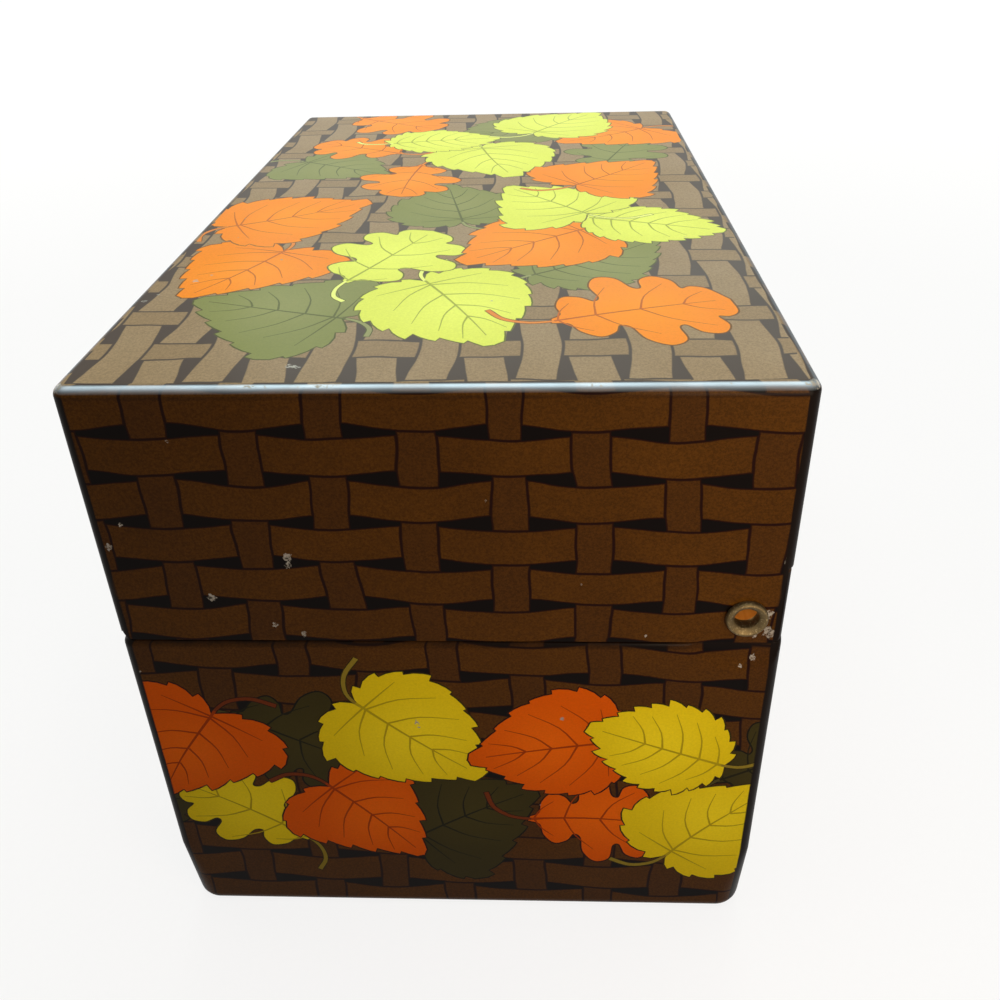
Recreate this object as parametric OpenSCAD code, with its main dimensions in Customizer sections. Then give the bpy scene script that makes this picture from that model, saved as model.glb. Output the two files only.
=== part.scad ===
/* [Box] */
// Length of the closed box from side to side, along the row of cards
box_l = 136; // [110:1:220]
// Depth of the closed box from front to rear
box_w = 83; // [60:1:140]
// Height of the base from the table to its shoulder
base_h = 52.6; // [40:0.2:90]
// Height of the lid from its lower edge to its top
lid_h = 35.5; // [28:0.5:70]
// Gap between the shoulder of the base and the lower edge of the lid
seam_gap = 0.4; // [0.3:0.1:0.8]

/* [Sheet] */
// Thickness of the tinplate sheet
sheet_t = 0.3; // [0.2:0.05:0.45]
// Outside radius of the upright corners
corner_r = 1.6; // [1.2:0.1:2.6]
// Outside radius of the fold round the top of the lid
top_fold_r = 1.3; // [0.8:0.1:2.4]
// Outside radius of the fold round the bottom of the base
base_fold_r = 1.8; // [0.8:0.1:2.8]
// Outside radius of the upright corners where they meet the bottom
foot_corner_r = 4; // [3:0.5:7]
// Height over which the upright corners open out towards the bottom
foot_corner_h = 13; // [8:1:20]
// Radius cut from the two lower front corners of the lid
skirt_corner_r = 2; // [1:0.25:3]

/* [Neck] */
// Height of the neck above the shoulder, at the front and the sides
neck_h = 6.4; // [4:0.2:8]
// Clearance between the lid and the neck at the front
front_gap = 0.3; // [0.3:0.05:0.6]
// Clearance between the side skirts of the lid and the neck
side_gap = 0.15; // [0.15:0.05:0.3]
// Height of the rounded shoulder under the neck
shoulder_h = 0.9; // [0.5:0.1:1.5]
// Height of the hem that is folded inwards along the rim of the base
hem_h = 3; // [2:0.25:3.5]

/* [Hinge] */
// Distance of the hinge axis from the rear face of the box
pivot_in = 5.05; // [4.8:0.05:6]
// Height of the hinge axis above the lower edge of the lid
pivot_up = 4.05; // [3.6:0.05:5]
// Height of the rear wall of the base above the shoulder
rear_wall_h = 10.8; // [10:0.2:11.6]
// Gap between the rear wall of the base and the rear skirt of the lid
rear_gap = 0.8; // [0.6:0.1:1.5]
// Distance of the rear edge of the hinge tabs from the rear face
tab_in = 0.8; // [0.6:0.1:1.5]
// Clearance round the path of the hinge tabs where the shoulder is pressed in
sweep_gap = 0.9; // [0.8:0.05:1.2]
// Width of the soft slope round the place that is pressed in
dish_run = 2; // [1:0.5:4]
// Length of the raised side walls of the base in front of the hinge axis
cheek_run = 6; // [4:0.5:9]
// Length of the slope from the neck up to the raised side walls
cheek_slope = 6; // [3:0.5:12]

/* [Eyelets] */
// Diameter of the hole through an eyelet
eyelet_bore = 3; // [2.4:0.1:3.4]
// Diameter of the rolled rim of an eyelet
eyelet_rim_d = 5.1; // [4.8:0.1:5.6]
// Thickness of the wall of an eyelet
eyelet_wall = 0.28; // [0.2:0.02:0.3]
// Clearance between the barrel of an eyelet and its hole in the lid
running_gap = 0.05; // [0.02:0.01:0.1]
// Clearance between the outer rim of an eyelet and the lid
rim_gap = 0.1; // [0.05:0.05:0.2]

/* [Corner laps] */
// Width of the flaps that close the folded corners from inside
lap_w = 11; // [6:0.5:16]
// Distance that the flaps stay short of the folds and rims
lap_clear = 2.5; // [2:0.5:5]

/* [Hidden] */
TIN_BROWN = "#4a2f1c";
BRASS = "#8a7a4e";

// Faces on the corners, and on the turned eyelets
FN_CORNER = 40;
FN_TURNED = 64;
// Steps round half a turn of a rolled rim, and round the shoulder
ROLL_STEPS = 12;
SHOULDER_STEPS = 5;
// Depth by which a cutting shape passes the face that it cuts
OVER = 1;
// Thickness of a slice that only marks a level of a blended shape
SLICE = 0.01;

half_l = box_l / 2;
half_w = box_w / 2;
lid_z = base_h + seam_gap;
box_h = lid_z + lid_h;

// The neck stands inside the skirts of the lid, and flush at the rear
side_in = sheet_t + side_gap;
front_in = sheet_t + front_gap;
neck_top = base_h + neck_h;
rear_top = base_h + rear_wall_h;
skirt_rear_z = rear_top + rear_gap;
bend_y = half_w - max(corner_r, tab_in);

// Hinge axis, and the circle that the lower rear corner of a tab runs on
pivot_y = half_w - pivot_in;
pivot_z = lid_z + pivot_up;
sweep_r = norm([pivot_in - tab_in, pivot_up]) + sweep_gap;

barrel_r = eyelet_bore / 2 + eyelet_wall;
roll_r = (eyelet_rim_d - eyelet_bore) / 4;

// A corner that is round in plan and rolled over at its lower edge
module foot(r, fold) {
    rotate_extrude($fn = FN_CORNER) intersection() {
        union() {
            translate([0, fold]) square([r, SLICE]);
            square([r - fold, fold]);
            translate([r - fold, fold]) circle(r = fold, $fn = FN_CORNER);
        }
        square([r, fold + SLICE]);
    }
}

// A slice of a rectangle with round corners, that spans y0 to y1
module plan_slice(half_x, y0, y1, r, h) {
    for (x = [-half_x + r, half_x - r], y = [y0 + r, y1 - r])
        translate([x, y, 0]) cylinder(r = r, h = h, $fn = FN_CORNER);
}

// The outer form of the base up to its shoulder, or with inset the inner form
module lower_form(inset) {
    fold = base_fold_r - inset;
    foot_r = max(foot_corner_r, base_fold_r + SLICE) - inset;
    hull() {
        for (sx = [-1, 1], sy = [-1, 1])
            translate([sx * (half_l - inset - foot_r), sy * (half_w - inset - foot_r), inset])
                foot(foot_r, fold);
        translate([0, 0, foot_corner_h])
            plan_slice(half_l - inset, -half_w + inset, half_w - inset, corner_r - inset,
                base_h - shoulder_h - foot_corner_h);
        for (a = [0 : 90 / SHOULDER_STEPS : 90])
            translate([0, 0, base_h - inset - shoulder_h * (1 - sin(a)) - SLICE])
                plan_slice(half_l - inset - side_in * (1 - cos(a)),
                    -half_w + inset + front_in * (1 - cos(a)), half_w - inset, corner_r - inset, SLICE);
    }
}

// The form of the neck and the rear wall, from inside the shoulder up to z1
module neck_form(inset, z1) {
    z0 = base_h - sheet_t - shoulder_h;
    translate([0, 0, z0])
        hull() plan_slice(half_l - side_in - inset, -half_w + front_in + inset, half_w - inset,
            corner_r - inset, z1 - z0);
}

// Dishes beside the hinge tabs, where the sides are pressed in to the level of the neck
module tab_dishes(plane, r) {
    for (side = [-1, 1])
        translate([side * plane, pivot_y, pivot_z])
            rotate([0, side * 90, 0])
                cylinder(r1 = r, r2 = r + 2 * dish_run, h = 2 * side_in, $fn = FN_TURNED);
}

// The rim of the base seen from the side, from front to rear
function rim_line(drop) = [
    [-half_w - OVER, neck_top - drop],
    [pivot_y - cheek_run - cheek_slope, neck_top - drop],
    [pivot_y - cheek_run, rear_top - drop],
    [half_w + OVER, rear_top - drop]
];

function reversed(list) = [for (i = [len(list) - 1 : -1 : 0]) list[i]];

// A shape drawn in the side view, carried across the whole box
module across(points) {
    translate([-half_l - OVER, 0, 0])
        rotate([90, 0, 90]) linear_extrude(box_l + 2 * OVER) polygon(points);
}

module above_rim() {
    across(concat(rim_line(0), [[half_w + OVER, box_h], [-half_w - OVER, box_h]]));
}

// The hem that is folded inwards and down along the rim of the base
module hem() {
    difference() {
        intersection() {
            neck_form(sheet_t - SLICE, rear_top);
            across(concat(rim_line(0), reversed(rim_line(hem_h))));
        }
        neck_form(2 * sheet_t, box_h);
    }
}

// Flaps at the four corners that lie against the inside of the side walls
module corner_laps(plane, y0, y1, z0, z1) {
    for (side = [-1, 1])
        translate([side > 0 ? plane - sheet_t : -plane - SLICE, 0, 0])
            rotate([90, 0, 90]) linear_extrude(sheet_t + SLICE)
                for (end = [[y0, 1], [y1, -1]])
                    polygon([
                        [end[0], z0],
                        [end[0] + end[1] * lap_w, z0 + lap_w / 2],
                        [end[0] + end[1] * lap_w, z1 - lap_w / 4],
                        [end[0] + end[1] * (lap_w * 3 / 4), z1],
                        [end[0], z1]
                    ]);
}

// Holes through both sides on the hinge axis
module hinge_holes(r) {
    translate([-half_l - OVER, pivot_y, pivot_z])
        rotate([0, 90, 0]) cylinder(r = r, h = box_l + 2 * OVER, $fn = FN_TURNED);
}

module base() {
    color(TIN_BROWN) union() {
        difference() {
            union() {
                difference() {
                    lower_form(0);
                    tab_dishes(half_l - side_in, sweep_r);
                }
                neck_form(0, rear_top);
            }
            difference() {
                lower_form(sheet_t);
                tab_dishes(half_l - side_in - sheet_t, sweep_r + sheet_t);
            }
            neck_form(sheet_t, box_h);
            above_rim();
            hinge_holes(barrel_r);
        }
        hem();
        corner_laps(half_l - sheet_t, -half_w + corner_r, half_w - corner_r,
            foot_corner_h, base_h - shoulder_h - hem_h - lap_clear);
    }
}

// The form of the lid, from the level z0 up to its top
module lid_form(inset, z0) {
    r = max(corner_r, top_fold_r + SLICE) - inset;
    hull() {
        translate([0, 0, z0])
            plan_slice(half_l - inset, -half_w + inset, half_w - inset, corner_r - inset, SLICE);
        for (sx = [-1, 1], sy = [-1, 1])
            translate([sx * (half_l - inset - r), sy * (half_w - inset - r), box_h - inset])
                mirror([0, 0, 1]) foot(r, top_fold_r - inset);
    }
}

// What is cut from a lower front corner of the lid, in the view along the length
module skirt_corner_cut(length) {
    translate([0, 0, -OVER]) difference() {
        translate([-OVER, 0, 0]) cube([skirt_corner_r + OVER, length, skirt_corner_r + OVER]);
        translate([skirt_corner_r, -OVER, skirt_corner_r + OVER])
            rotate([-90, 0, 0]) cylinder(r = skirt_corner_r, h = length + 2 * OVER, $fn = FN_CORNER);
    }
}

module skirt_corners() {
    reach = corner_r + OVER;
    for (side = [0, 1]) mirror([side, 0, 0]) translate([half_l, -half_w, lid_z]) {
        mirror([1, 0, 0]) translate([0, -OVER, 0]) skirt_corner_cut(reach);
        translate([OVER, 0, 0]) rotate([0, 0, 90]) skirt_corner_cut(reach);
    }
}

// Below the rear skirt the sides have nothing to bend to, so the hinge tabs run on flat
module hinge_tabs() {
    for (side = [0, 1]) mirror([side, 0, 0])
        translate([half_l - sheet_t, bend_y - SLICE, lid_z])
            cube([sheet_t, half_w - tab_in - bend_y + SLICE, skirt_rear_z - lid_z]);
}

module lid() {
    color(TIN_BROWN) difference() {
        union() {
            difference() {
                lid_form(0, lid_z);
                lid_form(sheet_t, lid_z - OVER);
                translate([-half_l - OVER, bend_y, lid_z - OVER])
                    cube([box_l + 2 * OVER, box_w, skirt_rear_z - lid_z + OVER]);
                skirt_corners();
            }
            hinge_tabs();
            corner_laps(half_l - sheet_t, -half_w + corner_r, half_w - corner_r,
                skirt_rear_z + lap_clear, box_h - top_fold_r - lap_clear);
        }
        hinge_holes(barrel_r + running_gap);
    }
}

function arc(r, z, radius, from, to) =
    [for (i = [0 : ROLL_STEPS]) let (a = from + (to - from) * i / ROLL_STEPS)
        [r + radius * cos(a), z + radius * sin(a)]];

// A hollow rivet turned about z, with the outside of the lid at z = 0 and a rolled rim at each end
module eyelet() {
    mid_r = eyelet_bore / 2 + roll_r;
    inner_r = roll_r - eyelet_wall;
    outer_z = rim_gap + inner_r;
    grip_z = -2 * sheet_t - side_gap;
    inner_z = grip_z - inner_r;
    rotate_extrude($fn = FN_TURNED) polygon(concat(
        arc(mid_r, outer_z, roll_r, 180, 0),
        [[mid_r + roll_r, rim_gap], [mid_r + inner_r, rim_gap]],
        arc(mid_r, outer_z, inner_r, 0, 180),
        arc(mid_r, inner_z, inner_r, 180, 360),
        [[mid_r + inner_r, grip_z], [mid_r + roll_r, grip_z]],
        arc(mid_r, inner_z, roll_r, 360, 180)
    ));
}

module right_eyelet() {
    color(BRASS) translate([half_l, pivot_y, pivot_z]) rotate([0, 90, 0]) eyelet();
}

module left_eyelet() {
    color(BRASS) translate([-half_l, pivot_y, pivot_z]) rotate([0, -90, 0]) eyelet();
}

base();
lid();
right_eyelet();
left_eyelet();
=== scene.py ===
import math
import random
from functools import partial, reduce

import bmesh
import bpy
import numpy as np
from mathutils import Matrix, Vector
from mathutils.geometry import delaunay_2d_cdt


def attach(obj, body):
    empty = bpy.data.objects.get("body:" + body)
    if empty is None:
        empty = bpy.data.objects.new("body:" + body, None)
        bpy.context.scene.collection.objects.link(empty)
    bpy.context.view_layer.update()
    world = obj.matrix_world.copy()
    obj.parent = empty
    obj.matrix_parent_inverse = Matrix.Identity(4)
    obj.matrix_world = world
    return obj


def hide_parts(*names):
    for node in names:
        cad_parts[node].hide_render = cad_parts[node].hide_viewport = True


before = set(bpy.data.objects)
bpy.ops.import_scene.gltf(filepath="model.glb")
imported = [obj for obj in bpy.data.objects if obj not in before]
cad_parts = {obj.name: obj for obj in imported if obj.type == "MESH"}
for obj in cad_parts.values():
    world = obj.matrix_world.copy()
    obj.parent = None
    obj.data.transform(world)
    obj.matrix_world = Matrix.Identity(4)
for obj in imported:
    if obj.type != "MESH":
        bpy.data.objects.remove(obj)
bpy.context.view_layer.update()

MM = 0.001
# In millimetres of the sheet: what counts as touching a line, what is welded, and what is no area;
# and how far short of its fold the print of the top stops
NEAR, WELD, NO_AREA = 1e-3, 2e-4, 1e-9
TOP_GAP = 0.02

# Sizes of the box in millimetres: its outside, and the levels of its folds and rims
HALF_L, HALF_W, BOX_H = 68.0, 41.5, 88.5
SHEET = 0.3
CORNER_R, TOP_FOLD, BASE_FOLD = 1.6, 1.3, 1.8
SKIRT_TOP = BOX_H - TOP_FOLD
FOOT_R, FOOT_H = 4.0, 13.0
SHOULDER_TOP, SHOULDER_H = 52.6, 0.9
SHOULDER_LOW = SHOULDER_TOP - SHOULDER_H
SIDE_IN, FRONT_IN = 0.45, 0.6
NECK_TOP, REAR_TOP = 59.0, 63.4
CHEEK_Y, CHEEK_SLOPE, CHEEK_SOFT = 30.45, 6.0, 0.8
HEM_H = 3.0
LID_Z, REAR_SKIRT_Z = 53.0, 64.2
SKIRT_CORNER_R, TAB_CORNER_R, TAB_Y, TAB_BLEND = 2.0, 1.0, 40.7, 1.4
PIVOT_Y, PIVOT_Z = 36.45, 57.05
SWEEP_R, DISH_RUN = 6.77, 2.0
EYELET_HOLE, EYELET_BORE, EYELET_RIM, EYELET_WALL, EYELET_STEPS = 1.83, 3.0, 5.1, 0.28, 88
LAP_W, LAP_CLEAR, LAP_EDGE = 11.0, 2.5, 0.2

# The sheet is unrolled along u, from the left front corner round to the right, with v upwards
FRONT_U, SIDE_U = 2 * HALF_L, 2 * HALF_W
ROUND_U = 2 * (FRONT_U + SIDE_U)
CORNER_U = np.array([0.0, FRONT_U, FRONT_U + SIDE_U, 2 * FRONT_U + SIDE_U])
# The sheet is cut in the middle of the rear, and the corners lie between the edges of that cut
SEAM_U0, SEAM_U1 = HALF_L - ROUND_U / 2, HALF_L + ROUND_U / 2
TURNS_U = CORNER_U - (0, 0, 0, ROUND_U)
# Half of the length of sheet that is laid round a corner
TURN = 4.0
OUT = np.array([[0.0, -1.0], [1.0, 0.0], [0.0, 1.0], [-1.0, 0.0]])
ALONG = np.array([[1.0, 0.0], [0.0, 1.0], [-1.0, 0.0], [0.0, -1.0]])

# Pitch of the printed weave: strips along the sheet, rows up it, and the sizes of one band
WEAVE_PITCH = ROUND_U / 22
ROW_PITCH = 6.03
BAND_H, BAND_SAG, STRIP_W, LINE_W = 4.8, 0.88, 4.3, 0.36
# Where a strip and a row of it lie on the base, the skirts and the top, for the first two how steeply
# the rows fall across an end, and a number that gives each print a grain of its own
BASE_WEAVE = (FRONT_U + 21.4, 50.65, 0.03, 3.0)
SKIRT_WEAVE = (FRONT_U + 29.6, 86.35, 0.009, 9.0)
TOP_WEAVE = (48.5, -36.9, -21.0)


# Shared helpers


def rgb(code):
    """A colour written as sRGB hex, in the linear values that the shaders take."""
    parts = [int(code[i : i + 2], 16) / 255 for i in (1, 3, 5)]
    return [c / 12.92 if c <= 0.04045 else ((c + 0.055) / 1.055) ** 2.4 for c in parts]


def add_node(tree, kind, inputs=(), **settings):
    """Adds a node with its settings and links, and gives its outputs.

    kind may also say what a node of sums or mixtures does. inputs fills the live sockets in their order,
    or those that it names.
    """
    kind, *work = kind.split()
    if work:
        settings["data_type" if kind == "Mix" else "operation"] = work[0]
    node = tree.nodes.new(kind if "Node" in kind else "ShaderNode" + kind)
    for name, value in settings.items():
        setattr(node, name, value)
    if isinstance(inputs, dict):
        pairs = [(node.inputs[name], value) for name, value in inputs.items()]
    else:
        pairs = zip([socket for socket in node.inputs if socket.enabled], inputs)
    for socket, value in pairs:
        if isinstance(value, bpy.types.bpy_prop_collection):
            value = next(output for output in value if output.enabled)
        if isinstance(value, bpy.types.NodeSocket):
            tree.links.new(value, socket)
        else:
            socket.default_value = rgb(value) + [1] if isinstance(value, str) else value
    return node.outputs


def nodes_of(owner):
    """Empties the tree of a material or the world, and gives the function that adds nodes to it."""
    owner.use_nodes = True
    owner.node_tree.nodes.clear()
    return partial(add_node, owner.node_tree)


def joined(add, kind, values):
    """Takes the first two values to one, that and the next to another, and so on to the last."""
    return reduce(lambda a, b: add(kind, (a, b)), values)


def new_material(name):
    """A material, the function that adds its nodes, and the places on the object that its patterns follow."""
    material = bpy.data.materials.new(name)
    add = nodes_of(material)
    return material, add, add("TexCoord")["Object"]


def smooth(x):
    """An even rise from 0 to 1 that starts and ends level."""
    x = np.clip(x, 0, 1)
    return x * x * (3 - 2 * x)


def plan_point(u, half_x, y_front, y_rear, r):
    """Where the sheet runs in plan: a rectangle with corners of radius r."""
    u = np.mod(u, ROUND_U)
    side = np.searchsorted(CORNER_U, u, side="right") - 1
    length = np.where(side % 2 == 0, FRONT_U, SIDE_U)
    a = u - CORNER_U[side]
    ending = a > length - TURN
    corner = np.where(ending, (side + 1) % 4, side)
    last = (corner + 3) % 4

    def sharp(k):
        """The corner of the rectangle, before it is rounded."""
        x = np.where((k == 0) | (k == 3), -half_x, half_x)
        return np.stack([x, np.where(k < 2, y_front, y_rear)], -1)

    path = 2 * (TURN - r) + math.pi * r / 2
    s = np.where(ending, a - length, a) * path / (2 * TURN)
    quarter = math.pi * r / 4
    angle = np.clip(s / r, -math.pi / 4, math.pi / 4) + math.pi / 4
    point = sharp(corner)
    for way, share in (
        (OUT[last], (np.cos(angle) - 1) * r),
        (OUT[corner], (np.sin(angle) - 1) * r),
        (ALONG[last], -np.maximum(-s - quarter, 0)),
        (ALONG[corner], np.maximum(s - quarter, 0)),
    ):
        point = point + way * share[..., None]
    # Between the corners the sheet is straight
    flat = (a > TURN) & (a <= length - TURN)
    part = (a - TURN) / (length - 2 * TURN)
    start = sharp(side) + ALONG[side] * TURN
    stop = sharp((side + 1) % 4) - ALONG[side] * TURN
    point = np.where(flat[..., None], start + (stop - start) * part[..., None], point)
    return point[..., 0], point[..., 1]


def base_point(uv, depth):
    """A point of the base's sheet, at a depth below its outer face."""
    u, v = uv[..., 0], uv[..., 1]
    phi = np.clip((BASE_FOLD - v) / BASE_FOLD, 0, math.pi / 2)
    bend = BASE_FOLD - depth
    inset = depth + bend * (1 - np.cos(phi))
    z = np.where(v < BASE_FOLD, BASE_FOLD - bend * np.sin(phi), v)
    s = 1 - np.cos(np.arcsin(np.clip((v - SHOULDER_LOW) / SHOULDER_H, 0, 1)))
    r = np.interp(v, [BASE_FOLD, FOOT_H], [FOOT_R, CORNER_R]) - inset
    x, y = plan_point(u, HALF_L - SIDE_IN * s - inset, -HALF_W + FRONT_IN * s + inset, HALF_W - inset, r)
    under = np.interp(v, [SHOULDER_LOW, SHOULDER_TOP, SHOULDER_TOP + SHOULDER_H], [0, 1, 0])
    z = z - min(depth, SHEET) * under
    # The sides are pressed in round the hinge, where the tabs of the lid swing
    away = np.hypot(y - PIVOT_Y, z - PIVOT_Z)
    dish = HALF_L - SIDE_IN - depth + SIDE_IN * smooth((away - SWEEP_R) / DISH_RUN)
    x = np.sign(x) * np.minimum(np.abs(x), dish)
    return np.stack([x, y, z], -1)


def lid_point(uv, depth):
    """A point of the lid's sheet, at a depth below its outer face."""
    u, v = uv[..., 0], uv[..., 1]
    phi = np.clip((v - SKIRT_TOP) / TOP_FOLD, 0, math.pi / 2)
    bend = TOP_FOLD - depth
    inset = depth + bend * (1 - np.cos(phi))
    z = np.where(v > SKIRT_TOP, SKIRT_TOP + bend * np.sin(phi), v)
    x, y = plan_point(u, HALF_L - inset, -HALF_W + inset, HALF_W - inset, CORNER_R - inset)
    # Below the rear skirt the hinge tabs run on flat instead of turning the corner
    u = np.mod(u, ROUND_U)
    past = np.minimum(np.abs(u - CORNER_U[2]), np.abs(u - CORNER_U[3]))
    on_side = (u < CORNER_U[2]) | (u > CORNER_U[3])
    stretch = 1 - (CORNER_R * (2 - math.pi / 2)) / (2 * TURN)
    flat = np.where(on_side & (past < TURN), 1 - smooth((v - REAR_SKIRT_Z + TAB_BLEND) / TAB_BLEND), 0)
    x = x + flat * (np.sign(x) * (HALF_L - depth) - x)
    y = y + flat * (HALF_W - past * stretch - y + (TURN * stretch - TURN))
    return np.stack([x, y, z], -1)


def side_u(y, point, level):
    """The place along the sheet of a point y on the right side, at one level."""
    u = np.linspace(FRONT_U + 0.5, FRONT_U + SIDE_U - 0.2, 2000)
    return float(np.interp(y, point(np.stack([u, np.full_like(u, level)], -1), 0)[:, 1], u))


# Camera and light


def make_camera():
    """Looks at the right end from a little above it, as the photo does."""
    data = bpy.data.cameras.new("camera")
    data.lens = 34.43
    data.sensor_width = 36
    data.shift_y = -0.07
    data.clip_start = 0.01
    obj = bpy.data.objects.new("camera", data)
    place = Vector((157.52, 11.70, 134.87)) * MM
    right = Vector((-0.0342, 0.9991, -0.0248)).normalized()
    forward = Vector((-0.8655, -0.0420, -0.4992)).normalized()
    up = right.cross(forward).normalized()
    turn = Matrix((right, up, -forward)).transposed()
    obj.matrix_world = Matrix.Translation(place) @ turn.to_4x4()
    bpy.context.collection.objects.link(obj)
    bpy.context.scene.camera = obj


def make_lamp(name, place, aim, size, power, colour, sheen=1.0):
    """A soft panel, with its places and sizes in metres and its power in watts."""
    data = bpy.data.lights.new(name, "AREA")
    data.shape = "RECTANGLE"
    data.size, data.size_y = size
    data.energy = power
    data.color = rgb(colour)
    data.specular_factor = sheen
    obj = bpy.data.objects.new(name, data)
    obj.location = place
    obj.rotation_euler = (Vector(aim) - Vector(place)).to_track_quat("-Z", "Y").to_euler()
    bpy.context.collection.objects.link(obj)
    obj.visible_camera = False


def seen(add):
    """1 for a ray that shows a thing, straight, mirrored or through glass, and 0 for one that lights it."""
    path = add("LightPath")
    rays = [path[f"Is {way} Ray"] for way in ("Camera", "Glossy", "Transmission")]
    return joined(add, "Math MAXIMUM", rays)


def make_white_paper():
    """Matt white paper: no gloss, and a glow that only shows, so that it stays pale in plain light."""
    material, add, place = new_material("white_paper")
    # Fibres of about 1 mm
    fibres = add("TexNoise", (place, 900.0, 3.0))
    tone = add("Mix RGBA", (fibres, "#605B59", "#66615F"))
    matt = add("BsdfDiffuse", (tone, 0.5))
    away = add("VectorMath LENGTH", (place,))
    rising = add("MapRange", (away, 0.25, 1.3, 0.85, 1.0))
    strength = add("Math MULTIPLY", (seen(add), rising))
    glow = add("Emission", ("#FFFFFF", strength))
    add("OutputMaterial", (add("AddShader", (matt, glow)),))
    return material


def make_surroundings():
    """A white room that gives the box little light, and a pale floor that keeps its shadow."""
    scene = bpy.context.scene
    scene.view_settings.view_transform = "Standard"
    scene.world = bpy.data.worlds.new("studio")
    add = nodes_of(scene.world)
    dim = add("Background", ("#F2F2F2", 0.07))
    white = add("Background", ("#FFFFFF", 1.0))
    add("OutputWorld", (add("MixShader", (seen(add), dim, white)),))

    reach = 3.0
    mesh = bpy.data.meshes.new("floor")
    corners = [(-reach, -reach, 0), (reach, -reach, 0), (reach, reach, 0), (-reach, reach, 0)]
    mesh.from_pydata(corners, [], [(0, 1, 2, 3)])
    mesh.materials.append(make_white_paper())
    floor = bpy.data.objects.new("floor", mesh)
    bpy.context.collection.objects.link(floor)


make_camera()
make_surroundings()
make_lamp("overhead_panel", (-0.2, 0.0, 0.78), (-0.05, 0, 0.08), (0.75, 0.9), 7.5, "#DCEDE8")
make_lamp("rear_panel", (-0.98, 0.02, 0.76), (0, 0, 0.08), (0.9, 0.7), 7.4, "#E4F0EA")
make_lamp("left_panel", (-0.55, -0.9, 0.22), (-0.02, -0.02, 0.04), (0.6, 0.4), 4.6, "#F6F5F2", 0.15)
make_lamp("right_panel", (-0.55, 0.9, 0.22), (-0.02, 0.02, 0.04), (0.6, 0.4), 4.6, "#F6F5F2", 0.15)
make_lamp("near_lamp", (0.145, 0.06, 0.085), (0.068, 0.015, 0.05), (0.06, 0.06), 0.074, "#FFE9CC")
make_lamp("front_fill", (0.9, -0.1, 0.5), (0, 0, 0.05), (0.7, 0.5), 0.08, "#FFE8CC")
# A little light inside the box shows as an amber glint through the right eyelet
make_lamp("inside_light", (-0.045, 0.01, 0.048), (0.01, 0.026, 0), (0.04, 0.04), 0.032, "#FFD9A0")


# Materials


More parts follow.
